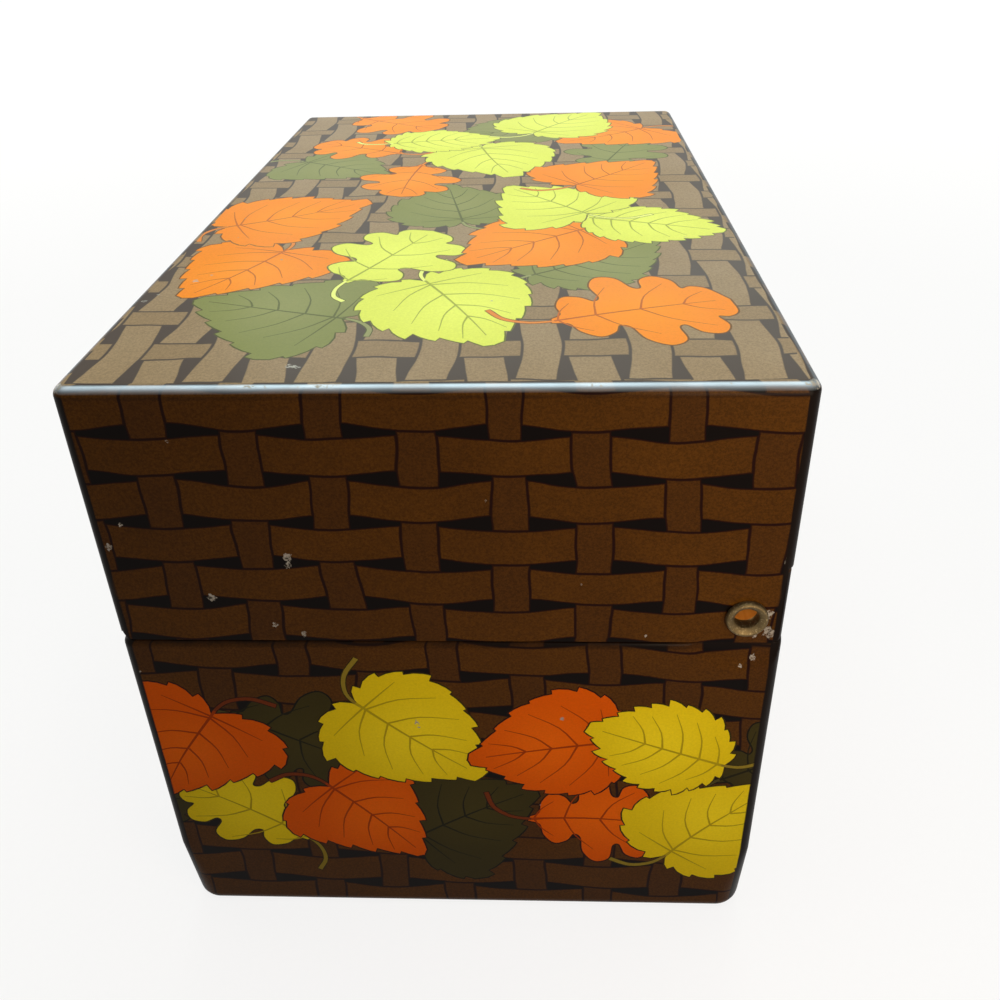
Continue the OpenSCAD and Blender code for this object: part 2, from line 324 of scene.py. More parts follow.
def make_printed_tin():
    """Lithographed tinplate: flat inks under a clear stoved varnish, which gives saturated colour
    under a soft, slightly uneven gloss, and bright metal where the ink is chipped or rubbed off."""
    material, add, place = new_material("lithographed_tinplate")
    where = add("Attribute", attribute_name="weave")["Vector"]
    ink = add("Attribute", attribute_name="ink")
    marks = add("Attribute", attribute_name="marks")
    mark = add("SeparateColor", (marks["Color"],))
    # Red marks chips; green marks rubbed folds and a painted highlight; blue is painted shade, and alpha the
    # painted sheen of the top
    chipped, worn, shade_mark, painted_top_sheen = mark["Red"], mark["Green"], mark["Blue"], marks["Alpha"]

    # Each noise with its cells to a millimetre of the print, or to a metre of the box, detail and roughness
    noise = {}
    for name, over, scale, detail, roughness in (
        # The hand that drew the weave wanders over 13 mm, and its lines over 3 mm
        ("sway", where, 0.075, 1.0, 0.4),
        ("jitter", where, 0.33, 0.0, 0.5),
        # Ink is mottled over 11 mm, with a grain of 0.3 mm
        ("cloud", where, 0.09, 3.0, 0.55),
        ("speckle", where, 3.4, 2.0, 0.8),
        # Rubbed places are patches of 6 mm with edges ragged by 0.7 mm, and chips have crumbs of 0.4 mm
        ("patches", place, 160.0, 2.0, 0.5),
        ("ragged", place, 1500.0, 4.0, 0.7),
        ("crumbs", place, 2600.0, 3.0, 0.65),
        # Handling changes the gloss over 26 mm, and the sheet itself waves over 38 mm
        ("haze", place, 38.0, 4.0, 0.6),
        ("buckle", place, 26.0, 1.0, 0.5),
    ):
        noise[name] = add("TexNoise", (over, scale, detail, roughness))

    moved = where
    for name, reach in (("sway", (2.6, 1.2, 0.0)), ("jitter", (0.34, 0.2, 0.0))):
        shift = add("VectorMath SUBTRACT", (noise[name]["Color"], (0.5, 0.5, 0.5)))
        shift = add("VectorMath MULTIPLY", (shift, reach))
        moved = add("VectorMath ADD", (moved, shift))
    axes = add("SeparateXYZ", (moved,))
    u, v = axes["X"], axes["Y"]

    # How far inside the nearest strip and band a point lies, for the two sets that take turns on top
    half = WEAVE_PITCH / 2
    wave = add("Math MULTIPLY", (u, 2 * math.pi / WEAVE_PITCH))
    wave = add("Math COSINE", (wave,))
    strips, bands = [], []
    for odd, sag in ((False, -BAND_SAG / 2), (True, BAND_SAG / 2)):
        across = add("Math PINGPONG", (u, half))
        dip = add("Math MULTIPLY_ADD", (wave, sag, BAND_SAG / 2))
        height = add("Math SUBTRACT", (v, dip))
        if odd:
            across = add("Math SUBTRACT", (half, across))
            height = add("Math SUBTRACT", (height, ROW_PITCH))
        height = add("Math PINGPONG", (height, ROW_PITCH))
        strips.append(add("Math SUBTRACT", (STRIP_W / 2, across)))
        bands.append(add("Math SUBTRACT", (BAND_H / 2, height)))

    # Outlines: the nearest edge that nothing else lies over, with a covered one put out of reach
    out_of_reach = 9.0
    distances = []
    crossings = list(zip(strips, bands[::-1]))
    for edge, cover in crossings + [(bands[1], strips[1]), (bands[0], strips[0])]:
        distance = add("Math ABSOLUTE", (edge,))
        hidden = add("Math GREATER_THAN", (cover, 0.0))
        distances.append(add("Math MULTIPLY_ADD", (hidden, out_of_reach, distance)))
    nearest = joined(add, "Math MINIMUM", distances)
    soft_line = (nearest, LINE_W * 0.25, LINE_W * 0.75, 1.0, 0.0)
    line = add("MapRange", soft_line, interpolation_type="SMOOTHSTEP")
    solid = joined(add, "Math MAXIMUM", strips + bands)
    gap = add("Math LESS_THAN", (solid, 0.0))
    dark = add("Math MAXIMUM", (gap, line))

    # Tone: the strips are a little redder than the bands, and the ink is faintly mottled
    uprights = []
    for strip, band in crossings:
        clear = add("Math LESS_THAN", (band, 0.0))
        uprights.append(add("Math MULTIPLY", (strip, clear)))
    upright = add("Math MAXIMUM", uprights)
    upright = add("Math GREATER_THAN", (upright, 0.0))
    # The top is painted a paler, yellower brown with a softer grain: painted sheen of the light from above
    browns = []
    for deep, light, redder in (("#44280A", "#58360E", "#482B0D"), ("#8B7052", "#9B8062", "#8C7153")):
        mottled = add("Mix RGBA", (noise["cloud"], deep, light))
        browns.append(add("Mix RGBA", (upright, mottled, redder)))
    tone = add("Mix RGBA", (painted_top_sheen, *browns))
    grain = add("MapRange", (noise["speckle"], 0.36, 0.64, 0.74, 1.26))
    softer = add("Math MULTIPLY", (painted_top_sheen, 0.45))
    grain = add("Mix FLOAT", (softer, grain, 1.0))
    tone = add("VectorMath SCALE", (tone, grain))
    black = add("Mix RGBA", (gap, "#200C05", "#0E0806"))
    black = add("Mix RGBA", (painted_top_sheen, black, "#4A3D36"))
    weave = add("Mix RGBA", (dark, tone, black))

    # The leaves and the plain areas are printed over the weave
    leaf_grain = add("MapRange", (noise["speckle"], 0.3, 0.7, 0.94, 1.06))
    leaf = add("VectorMath SCALE", (ink["Color"], leaf_grain))
    colour = add("Mix RGBA", (ink["Alpha"], weave, leaf))

    # Bare metal in chips, along rubbed folds, and in the pinholes of an old print, in one of 14 cells of 3 mm
    rubbed = add("Math MULTIPLY", (noise["ragged"], noise["patches"]))
    rubbed = add("Math MULTIPLY", (worn, rubbed))
    rubbed = add("MapRange", (rubbed, 0.30, 0.36), interpolation_type="SMOOTHSTEP")
    cells = add("TexVoronoi", {"Vector": place, "Scale": 330.0, "Randomness": 1.0})
    lot = add("SeparateColor", (cells["Color"],))
    few = add("Math GREATER_THAN", (lot["Red"], 0.93))
    small = add("Math MULTIPLY", (lot["Green"], 0.055))
    pinhole = add("Math LESS_THAN", (cells["Distance"], small))
    pinhole = add("Math MULTIPLY", (pinhole, few))
    flaked = add("Math MULTIPLY", (chipped, noise["crumbs"]))
    flaked = add("MapRange", (flaked, 0.38, 0.56))
    bare = joined(add, "Math MAXIMUM", (flaked, rubbed, pinhole))
    dull = add("Mix RGBA", (noise["ragged"], "#7E766C", "#B9B2A8"))
    # The varnish is polished thin along the folds, where the tin shines through, with a pale painted
    # highlight on the lid's top fold; painted shade darkens the seam, the strip below that fold and the
    # upright corners
    polish_and_highlight = add("MapRange", (noise["patches"], 0.3, 0.7, 0.62, 0.76))
    polish_and_highlight = add("Math MULTIPLY", (worn, polish_and_highlight))
    painted_shade = add("Math MULTIPLY", (shade_mark, noise["patches"]))
    for share, over in ((polish_and_highlight, "#BECAD6"), (bare, dull), (painted_shade, "#150D08")):
        colour = add("Mix RGBA", (share, colour, over))

    rough = add("MapRange", (noise["haze"], 0.3, 0.7, 0.3, 0.42))
    rough = add("Math MULTIPLY_ADD", (bare, 0.15, rough))
    metal = add("Math MULTIPLY", (polish_and_highlight, 0.85))
    metal = add("Mix FLOAT", (bare, metal, 0.22))
    ripple = add("Bump", {"Strength": 0.25, "Distance": 0.0005, "Height": noise["buckle"]})
    peel = {"Strength": 0.12, "Distance": 0.00004, "Height": noise["ragged"], "Normal": ripple}
    surface = add("BsdfPrincipled", {
        "Base Color": colour, "Roughness": rough, "Metallic": metal, "Normal": add("Bump", peel),
        "Specular IOR Level": 0.02, "Coat Weight": 0.035, "Coat Roughness": 0.14,
    })
    add("OutputMaterial", (surface,))
    return material


def make_gold_lacquer():
    """Tinplate under a thin gold stoving lacquer: warm metal with long soft reflections."""
    material, add, place = new_material("gold_lacquered_tinplate")
    # Rolling has drawn the grain out to 17 by 1 mm, and the lacquer is stained over 22 mm
    drawn = add("Mapping", {"Vector": place, "Scale": (60.0, 900.0, 900.0)})
    rolled = add("TexNoise", (drawn, 1.0, 3.0, 0.6))
    stain = add("TexNoise", (place, 45.0, 4.0, 0.6))
    tone = add("Mix RGBA", (stain, "#AC7F3E", "#C9A362"))
    rough = add("MapRange", (rolled, 0.3, 0.7, 0.42, 0.54))
    ripple = add("Bump", {"Strength": 0.15, "Distance": 0.0001, "Height": rolled})
    surface = {"Base Color": tone, "Roughness": rough, "Metallic": 1.0, "Normal": ripple}
    add("OutputMaterial", (add("BsdfPrincipled", surface),))
    return material


def make_bare_tin():
    """Sheared edge of tinplate: grey metal with a fine drag and spots of rust."""
    material, add, place = new_material("sheared_tinplate_edge")
    # The shears drag the metal in steps of 0.6 mm, and rust spots are 4 mm apart
    drag = add("TexNoise", (place, 1800.0, 2.0))
    rust = add("TexNoise", (place, 240.0, 4.0, 0.7))
    spots = add("MapRange", (rust, 0.52, 0.64))
    tone = add("Mix RGBA", (spots, "#8B867E", "#5B3A22"))
    rough = add("MapRange", (drag, 0.0, 1.0, 0.4, 0.6))
    metal = add("MapRange", (spots, 0.0, 1.0, 0.9, 0.1))
    surface = {"Base Color": tone, "Roughness": rough, "Metallic": metal}
    add("OutputMaterial", (add("BsdfPrincipled", surface),))
    return material


def make_aged_brass():
    """Rolled brass gone brown with handling: dull metal, with brighter high spots."""
    material, add, place = new_material("aged_rolled_brass")
    # Tarnish in patches of 1 mm, and pits of 0.3 mm
    tarnish = add("TexNoise", (place, 900.0, 5.0, 0.7))
    pits = add("TexNoise", (place, 3200.0, 2.0, 0.8))
    tone = add("Mix RGBA", (tarnish, "#3C3020", "#776442"))
    pale = add("MapRange", (pits, 0.56, 0.78))
    tone = add("Mix RGBA", (pale, tone, "#AD9872"))
    rough = add("MapRange", (tarnish, 0.0, 1.0, 0.42, 0.64))
    pitted = add("Bump", {"Strength": 0.1, "Distance": 0.00003, "Height": pits})
    surface = {"Base Color": tone, "Roughness": rough, "Metallic": 1.0, "Normal": pitted}
    add("OutputMaterial", (add("BsdfPrincipled", surface),))
    return material


PRINT, LACQUER, CUT = 0, 1, 2
TIN_MATERIALS = [make_printed_tin(), make_gold_lacquer(), make_bare_tin()]
AGED_BRASS = make_aged_brass()


# The printed leaves


ORANGE, YELLOW, OLIVE = "orange", "yellow", "olive"
# For each colour of leaf: the middle, the edge, the veins, the outline and the stalk
SIDE_INKS = {
    ORANGE: ("#E8690A", "#D95A04", "#9C3A06", "#2A1408", "#6E3010"),
    YELLOW: ("#F2DC24", "#E4CB18", "#B09C18", "#332A0C", "#8E7C2A"),
    OLIVE: ("#403916", "#373011", "#1C1A09", "#141208", "#4C4522"),
}
# The leaves on the top are paler, greyer copies of those on the sides: painted sheen of the light from above
SHEENED_TOP_INKS = {
    ORANGE: ("#F58C10", "#EE820A", "#BC5C12", "#6E461C", "#DC7E30"),
    YELLOW: ("#E2E260", "#D8D856", "#9CA03A", "#64642A", "#E4E27A"),
    OLIVE: ("#88864F", "#7E7E46", "#5A5C30", "#50502A", "#8E8C5A"),
}
DARK_BROWN = rgb("#33200F") + [1.0]
# Widths in millimetres of the drawn lines: round a leaf and its stalk, the stalk from the leaf to its foot,
# a side vein and the midrib from the root to the tip
LEAF_LINE, STALK_LINE = 0.24, 0.14
STALK_W, VEIN_W, RIB_W = (0.38, 0.66), (0.3, 0.1), (0.4, 0.14)

# Right half of each leaf from its stalk to its tip, its number of teeth, and where its side veins
# start on the midrib and end
LEAVES = {
    "oak": (
        [(0.02, 0.0), (0.06, 0.08), (0.17, 0.1), (0.26, 0.17), (0.23, 0.26), (0.16, 0.31), (0.2, 0.36),
         (0.35, 0.37), (0.45, 0.45), (0.41, 0.55), (0.27, 0.58), (0.25, 0.63), (0.35, 0.67), (0.38, 0.76),
         (0.3, 0.83), (0.19, 0.83), (0.2, 0.89), (0.15, 0.96), (0.0, 1.0)],
        0, [(0.04, 0.21, 0.17), (0.25, 0.39, 0.45), (0.5, 0.33, 0.75), (0.74, 0.15, 0.92)]),
    "lime": (
        [(0.0, 0.06), (0.08, -0.02), (0.22, -0.04), (0.38, 0.04), (0.48, 0.19), (0.5, 0.36), (0.43, 0.56),
         (0.29, 0.75), (0.12, 0.91), (0.0, 1.05)],
        10, [(0.08, 0.38, 0.1), (0.1, 0.42, 0.36), (0.28, 0.38, 0.58), (0.46, 0.26, 0.74),
             (0.64, 0.15, 0.88)]),
    "beech": (
        [(0.01, 0.0), (0.14, 0.02), (0.29, 0.12), (0.39, 0.28), (0.41, 0.45), (0.36, 0.62), (0.25, 0.78),
         (0.11, 0.92), (0.0, 1.03)],
        12, [(0.05, 0.28, 0.2), (0.19, 0.36, 0.36), (0.33, 0.36, 0.52), (0.47, 0.31, 0.67),
             (0.6, 0.22, 0.79)]),
    "poplar": (
        [(0.01, 0.06), (0.12, 0.0), (0.3, -0.03), (0.47, 0.04), (0.56, 0.16), (0.52, 0.32), (0.41, 0.5),
         (0.28, 0.68), (0.13, 0.86), (0.0, 1.02)],
        9, [(0.08, 0.44, 0.1), (0.1, 0.45, 0.3), (0.28, 0.38, 0.5), (0.46, 0.27, 0.67), (0.63, 0.16, 0.82)]),
}
# One tooth of a leaf's edge: shares of its length and of its height
TOOTH = ((0.35, 0.5), (0.7, 0.85), (0.96, 1.0), (1.0, 0.0))


def through(points, steps):
    """A smooth line through the points."""
    p = [np.array(q, float) for q in points]
    p = [2 * p[0] - p[1]] + p + [2 * p[-1] - p[-2]]
    line = []
    for a, b, c, d in zip(p, p[1:], p[2:], p[3:]):
        for t in (i / steps for i in range(steps)):
            square, cube = 2 * a - 5 * b + 4 * c - d, 3 * b - a - 3 * c + d
            line.append(0.5 * (2 * b + (c - a) * t + square * t**2 + cube * t**3))
    line.append(p[-2])
    return np.array(line)


def right_of(way):
    """Unit steps to the right of the given directions."""
    return np.stack([way[:, 1], -way[:, 0]], 1) / (np.hypot(*way.T)[:, None] + 1e-9)


def half_outline(points, teeth, rng):
    """One half of a leaf's edge, with its teeth."""
    line = through(points, 5)
    if teeth == 0:
        return line
    places, heights = [0.0], [0.0]
    for i in range(teeth):
        rise = rng.uniform(0.022, 0.045) * (1 if i % 3 else 1.5)
        for share, part in TOOTH:
            places.append((i + share) / teeth)
            heights.append(rise * part)
    heights[-2] = heights[-1] = 0.0
    step = np.hypot(*np.diff(line, axis=0).T)
    at = np.concatenate([[0], np.cumsum(step)]) / step.sum()
    places = np.array(places)
    point, ahead, back = (
        np.stack([np.interp(np.clip(places + shift, 0, 1), at, line[:, i]) for i in (0, 1)], 1)
        for shift in (0, 0.01, -0.01))
    return point + right_of(ahead - back) * np.array(heights)[:, None]


def widened(outline, by):
    """The outline moved outwards by a distance."""
    before, after = np.roll(outline, 1, 0), np.roll(outline, -1, 0)
    n = right_of(outline - before) + right_of(after - outline)
    n = n / np.maximum(np.hypot(*n.T)[:, None], 0.5)
    area = np.sum(outline[:, 0] * after[:, 1] - outline[:, 1] * after[:, 0])
    return outline + n * by * np.sign(area)


def ribbon(line, widths):
    """A closed strip along a line, between the widths at its start and its end."""
    half = right_of(np.gradient(line, axis=0)) * np.linspace(*widths, len(line))[:, None] / 2
    return np.concatenate([line + half, (line - half)[::-1]])


def leaf_layers(inks, kind, colour, place, length, angle, rng):
    """The inked shapes of one leaf, from its outline up to its veins."""
    points, teeth, veins = LEAVES[kind]
    right = half_outline(points, teeth, rng)
    left = half_outline(points, teeth, rng) * (-rng.uniform(0.9, 1.08), 1.0)
    outline = np.concatenate([right, left[::-1][1:-1]])
    bend, lean = rng.uniform(-0.14, 0.14), rng.uniform(-0.08, 0.08)
    cos, sin = math.cos(math.radians(angle)), math.sin(math.radians(angle))

    def put(local):
        """Bends, turns and sizes a shape of the leaf, and puts it in its place."""
        local = np.asarray(local, float)
        x = local[:, 0] + bend * local[:, 1] ** 2 + lean * local[:, 0] * local[:, 1]
        y = local[:, 1] - 0.5
        return np.stack([x * cos - y * sin, x * sin + y * cos], 1) * length + place

    middle, edge, vein, border, stalk = (rgb(c) for c in inks[colour])
    inside = put(outline)

    def shade(xy):
        """The ink's colour, which turns deeper towards the edge of the leaf."""
        share = smooth(np.hypot(*(xy - place).T) / (0.55 * length))[:, None]
        return np.array(middle) * (1 - share) + np.array(edge) * share

    curl = rng.choice([-1, 1]) * rng.uniform(0.1, 0.2)
    reach = rng.uniform(0.2, 0.3)
    foot = [(curl * 0.2, -reach * 0.45), (curl * 0.8, -reach * 0.85), (curl * 1.7, -reach)]
    stem = ribbon(put(through([(0, 0.1), (0, 0.0)] + foot, 4)), STALK_W)
    layers = [(widened(stem, STALK_LINE), border), (widened(inside, LEAF_LINE), border), (inside, shade),
              (stem, stalk)]
    for sign in (-1, 1):
        for start, x, y in veins:
            x *= sign * rng.uniform(0.86, 1.0)
            y = y + rng.uniform(-0.02, 0.02)
            mid = (x * 0.5, start + (y - start) * 0.36)
            layers.append((ribbon(put(through([(0, start), mid, (x * 0.93, y)], 3)), VEIN_W), vein))
    rib = through([(0, 0.02), (rng.uniform(-0.012, 0.012), 0.5), (0, 0.92)], 4)
    layers.append((ribbon(put(rib), RIB_W), vein))
    return layers


def band_of_leaves():
    """Two staggered rows of leaves round the base, the olive ones at the back."""
    rng = random.Random(31)
    kinds = ["lime", "oak", "poplar", "beech", "lime", "poplar", "oak"]
    lower = [ORANGE, OLIVE, YELLOW, ORANGE, OLIVE, ORANGE, YELLOW, OLIVE, YELLOW]
    upper = [YELLOW, ORANGE, OLIVE, YELLOW, ORANGE, YELLOW, OLIVE, ORANGE, YELLOW]
    columns = 27
    step = ROUND_U / columns
    rows = [], []
    for i in range(columns):
        for row, colours, level in ((0, lower, 20.4), (1, upper, 33.6)):
            place = ((i + 0.5 * row) * step + rng.uniform(-1.6, 1.6) + 2.0, level + rng.uniform(-1.8, 1.8))
            angle = rng.choice([-90, 90]) + rng.uniform(-58, 58)
            length = rng.uniform(18.0, 21.0)
            kind, colour = kinds[(i * 3 + row * 2) % len(kinds)], colours[(i + 2) % len(colours)]
            rows[row].append((kind, colour, place, length, angle))
    ordered = sorted(rows[0] + rows[1], key=lambda leaf: leaf[1] != OLIVE)
    leaves = [leaf_layers(SIDE_INKS, *leaf, rng) for leaf in ordered]
    # A leaf that runs over the seam shows again at the other edge of the sheet
    again = [[(shape - (ROUND_U, 0), (lambda xy, c=ink: c(xy + (ROUND_U, 0))) if callable(ink) else ink)
              for shape, ink in layers]
             for layers in leaves if max(shape[:, 0].max() for shape, _ in layers) > SEAM_U1]
    return leaves + again


def spray_of_leaves():
    """The leaves strewn over the top of the lid."""
    rng = random.Random(12)
    strewn = [
        ("poplar", OLIVE, 46, -22, 160), ("beech", OLIVE, 30, 20, 30), ("lime", OLIVE, 2, -2, 100),
        ("poplar", OLIVE, -22, -25, -30), ("lime", OLIVE, -50, 5, 200), ("oak", OLIVE, -30, 26, 75),
        ("lime", YELLOW, 46, 2, -58), ("oak", ORANGE, 47, 24, 20), ("poplar", ORANGE, 33, -29, -112),
        ("oak", YELLOW, 27, -9, 62), ("lime", ORANGE, 22, 10, 215), ("beech", YELLOW, 14, 29, -20),
        ("lime", ORANGE, 8, -27, 25), ("poplar", YELLOW, 1, 13, 130), ("oak", ORANGE, -13, -12, 260),
        ("poplar", ORANGE, -15, 25, 45), ("lime", YELLOW, -26, 3, -75), ("oak", ORANGE, -37, -24, 150),
        ("beech", YELLOW, -43, -8, 15), ("poplar", ORANGE, -44, 26, -140), ("lime", YELLOW, -57, 16, 60),
        ("oak", ORANGE, -58, -20, -40),
    ]
    return [leaf_layers(SHEENED_TOP_INKS, kind, colour, (x, y), rng.uniform(20.5, 23.5), angle, rng)
            for kind, colour, x, y, angle in strewn]


def chip(place, size, rng):
    """An irregular flake out of the print."""
    turn = rng.uniform(0, 6.28)
    return np.array([
        (place[0] + size * rng.uniform(0.5, 1.2) * math.cos(turn + i * 2 * math.pi / 14),
         place[1] + size * 1.2 * rng.uniform(0.5, 1.2) * math.sin(turn + i * 2 * math.pi / 14))
        for i in range(14)
    ])


def chips(known, strays, across, up, sizes, rng):
    """Flakes at known places, and stray ones strewn over an area."""
    found = [chip((x, y), size, rng) for x, y, size in known]
    for _ in range(strays):
        found.append(chip((rng.uniform(*across), rng.uniform(*up)), rng.uniform(*sizes), rng))
    return found


# Sheet metal as a mesh


def within(points, polygon):
    """Which of the points lie inside a closed outline."""
    found = np.zeros(len(points), int)
    low, high = polygon.min(0), polygon.max(0)
    near = np.flatnonzero(((points >= low) & (points <= high)).all(1))
    x, y = points[near, 0], points[near, 1]
    for (x0, y0), (x1, y1) in zip(polygon, np.roll(polygon, -1, 0)):
        side = (x1 - x0) * (y - y0) - (x - x0) * (y1 - y0)
        found[near] += (y0 <= y) & (y1 > y) & (side > 0)
        found[near] -= (y0 > y) & (y1 <= y) & (side < 0)
    return found != 0


def fill(outline, holes, lines, shapes=()):
    """Triangles over an outline, with edges along every line and every inked shape."""
    points, edges = [], []
    closed = [outline] + list(holes) + list(shapes)
    for run, loop in [(c, True) for c in closed] + [(l, False) for l in lines]:
        first = len(points)
        points.extend(Vector((float(a), float(b))) for a, b in run)
        edges.extend((first + i, first + i + 1) for i in range(len(run) - 1))
        if loop:
            edges.append((len(points) - 1, first))
    verts, _, faces, *_ = delaunay_2d_cdt(points, edges, [], 0, WELD)
    verts = np.array([(p.x, p.y) for p in verts])
    faces = np.array([f for f in faces if len(f) == 3])
    middle = verts[faces].mean(1)
    keep = within(middle, np.asarray(outline, float))
    for hole in holes:
        keep &= ~within(middle, np.asarray(hole, float))
    a, b, c = verts[faces[:, 0]], verts[faces[:, 1]], verts[faces[:, 2]]
    area = (b[:, 0] - a[:, 0]) * (c[:, 1] - a[:, 1]) - (c[:, 0] - a[:, 0]) * (b[:, 1] - a[:, 1])
    keep &= np.abs(area) > NO_AREA
    faces = np.where((area > 0)[:, None], faces, faces[:, ::-1])
    return verts, faces[keep]


def rim_ends(verts, faces):
    """The ends of the edges with a face on one side only, in the direction that the face runs."""
    ways = np.concatenate([faces[:, [0, 1]], faces[:, [1, 2]], faces[:, [2, 0]]])
    known = {(int(a), int(b)) for a, b in ways}
    return verts[np.array([(a, b) for a, b in known if (b, a) not in known])]


def both_at(values, level):
    """Which edges have both of their ends at a level."""
    return (np.abs(values - level) < NEAR).all(1)


def plate(ring, level, shapes=()):
    """Triangles over the flat bottom or top, inside the ring where the walls fold into it."""
    verts, faces = fill(ring[:-1, :2], [], [], shapes)
    return np.dstack([verts[faces], np.full((len(faces), 3, 1), level)])


class Sheet:
    """Triangles gathered for one piece of sheet metal, with what each corner of them carries."""

    def __init__(self, name):
        self.name = name
        self.parts = []

    def add(self, corners, slot, weave=0.0, ink=0.0, marks=0.0):
        """corners has the shape (faces, 3, 3), in millimetres."""
        n = len(corners)
        carried = [np.broadcast_to(x, (n, 3, size)) for x, size in ((weave, 3), (ink, 4), (marks, 4))]
        self.parts.append((corners, np.full(n, slot), *carried))

    def add_strip(self, rows, slot, ink=0.0):
        """Quads between rows of matching edges, each of the shape (edges, 2, 3)."""
        for near, far in zip(rows, rows[1:]):
            for pick in ((near[:, 1], near[:, 0], far[:, 0]), (near[:, 1], far[:, 0], far[:, 1])):
                self.add(np.stack(pick, 1), slot, 0.0, ink)

    def make(self, body, node):
        """Welds the triangles into one mesh, and hands the piece to the frame."""
        corners, slots, weave, ink, marks = (np.concatenate(x) for x in zip(*self.parts))
        verts, index = np.unique(np.round(corners.reshape(-1, 3), 3), axis=0, return_inverse=True)
        faces = index.reshape(-1, 3)
        whole = (faces != np.roll(faces, 1, 1)).all(1)
        faces, slots, weave, ink, marks = (x[whole] for x in (faces, slots, weave, ink, marks))
        mesh = bpy.data.meshes.new(self.name)
        mesh.from_pydata((verts * MM).tolist(), [], faces.tolist())
        for material in TIN_MATERIALS:
            mesh.materials.append(material)
        mesh.polygons.foreach_set("material_index", slots.astype(np.int32))
        mesh.polygons.foreach_set("use_smooth", np.ones(len(faces), bool))
        for name, kind, field, values in (
            ("weave", "FLOAT_VECTOR", "vector", weave),
            ("marks", "FLOAT_COLOR", "color", marks),
            ("ink", "FLOAT_COLOR", "color", ink),
        ):
            layer = mesh.attributes.new(name, kind, "CORNER")
            layer.data.foreach_set(field, values.astype(np.float32).ravel())
        mesh.set_sharp_from_angle(angle=math.radians(38))
        mesh.validate()
        obj = bpy.data.objects.new(self.name, mesh)
        bpy.context.collection.objects.link(obj)
        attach(obj, body)
        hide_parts(node)


def ink_of(uv, leaves, plain=None):
    """The ink on each corner of the faces: the topmost leaf that covers the face, or plain ink."""
    ink = np.zeros((len(uv), 3, 4))
    middle = uv.mean(1)
    if plain is not None:
        ink[plain] = DARK_BROWN
    for shape, colour in (layer for layers in leaves for layer in layers):
        covered = within(middle, shape)
        if covered.any():
            spots = uv[covered].reshape(-1, 2)
            ink[covered, :, :3] = colour(spots).reshape(-1, 3, 3) if callable(colour) else colour
            ink[covered, :, 3] = 1.0
    return ink


def weave_on(uv, start, level, fall, number):
    """Where the faces lie on the weave: its rows fall across each end, and run level along the sides."""
    along = np.abs(uv[..., 0] - HALF_L) - (HALF_L + HALF_W)
    slant = fall * np.clip(along, -HALF_W, HALF_W)
    return np.dstack([uv[..., 0] - start, level - uv[..., 1] - slant, np.full(uv.shape[:2], number)])


def chip_marks(uv, flakes):
    """The marks on each corner of the faces, red within the flakes."""
    marks = np.zeros((len(uv), 3, 4))
    for flake in flakes:
        marks[within(uv.mean(1), flake), :, 0] = 1.0
    return marks


def corner_turn(u):
    """How far along the sheet the nearest upright corner is."""
    return np.min(np.abs(u[..., None] - TURNS_U), -1)


def painted_corner_shade(turn):
    """Painted shade on the rounding of an upright corner, which darkens the print there."""
    return np.clip((1.35 - turn) / 0.3, 0, 1) * 3.6


# Steps from the middle of a rounded corner, and further ones where the foot is rounded more
NEAR_STEPS = (0.0, 0.275, 0.55, 0.825, 1.1, 1.375, 1.6)
FAR_STEPS = (2.0, 2.5, 3.0, 3.5, 4.0, 4.2)


def corner_places(steps):
    """Places along the sheet, to both sides of each corner."""
    both = sorted({way for step in steps for way in (-step, step)})
    return [corner + step for corner in TURNS_U for step in both]


def level_lines(levels):
    """Lines along the whole sheet."""
    return [[(SEAM_U0, v), (SEAM_U1, v)] for v in levels]


def eyelet_holes(hinge_u):
    """The holes for the eyelets in the right and the left side of the sheet."""
    turns = [2 * math.pi * i / 48 for i in range(48)]
    return [[(u + EYELET_HOLE * math.cos(t), PIVOT_Z + EYELET_HOLE * math.sin(t)) for t in turns]
            for u in (hinge_u, FRONT_U - hinge_u)]


def add_laps(sheet, z0, z1):
    """The flaps that close the folded corners from inside, against the end walls."""
    plane, outer = HALF_L - SHEET, HALF_W - CORNER_R
    inner, clipped = outer - LAP_W, outer - LAP_W * 0.75
    points = ((outer, z0), (inner, z0 + LAP_W / 2), (inner, z1 - LAP_W / 4), (clipped, z1), (outer, z1))
    fan = np.array([(0, i, i + 1) for i in range(1, len(points) - 1)])
    for side in (-1, 1):
        for end in (-1, 1):
            outline = np.array([(end * y, z) for y, z in points])
            # The burred edge is flattened, so that it catches the light all round
            rings = [np.column_stack([np.full(len(ring), side * (plane - depth)), ring]) for ring, depth in
                     ((widened(outline, -LAP_EDGE), SHEET), (outline, SHEET / 2), (outline, 0))]
            parts = [rings[0][fan[:, ::-1]], rings[2][fan]]
            for near, far in zip(rings, rings[1:]):
                next_near, next_far = np.roll(near, -1, 0), np.roll(far, -1, 0)
                parts += [np.stack([near, next_near, next_far], 1), np.stack([near, next_far, far], 1)]
            corners = np.concatenate(parts)
            sheet.add(corners if side * end > 0 else corners[:, ::-1], LACQUER)


# The base


def hem_knots():
    """Where the rim of the base along its right side leaves one level for the next, with softened bends."""
    start, stop = (side_u(y, base_point, NECK_TOP) for y in (CHEEK_Y - CHEEK_SLOPE, CHEEK_Y))
    rise = CHEEK_SOFT * (REAR_TOP - NECK_TOP) / (stop - start)
    return [(start - CHEEK_SOFT, NECK_TOP), (start + CHEEK_SOFT, NECK_TOP + rise),
            (stop - CHEEK_SOFT, REAR_TOP - rise), (stop + CHEEK_SOFT, REAR_TOP)]


HEM_U, HEM_V = zip(*hem_knots())


def hem_level(u):
    """The rim of the base along the sheet: low at the front, high round the hinge and the rear."""
    return np.interp(np.maximum(u, FRONT_U - u), HEM_U, HEM_V)


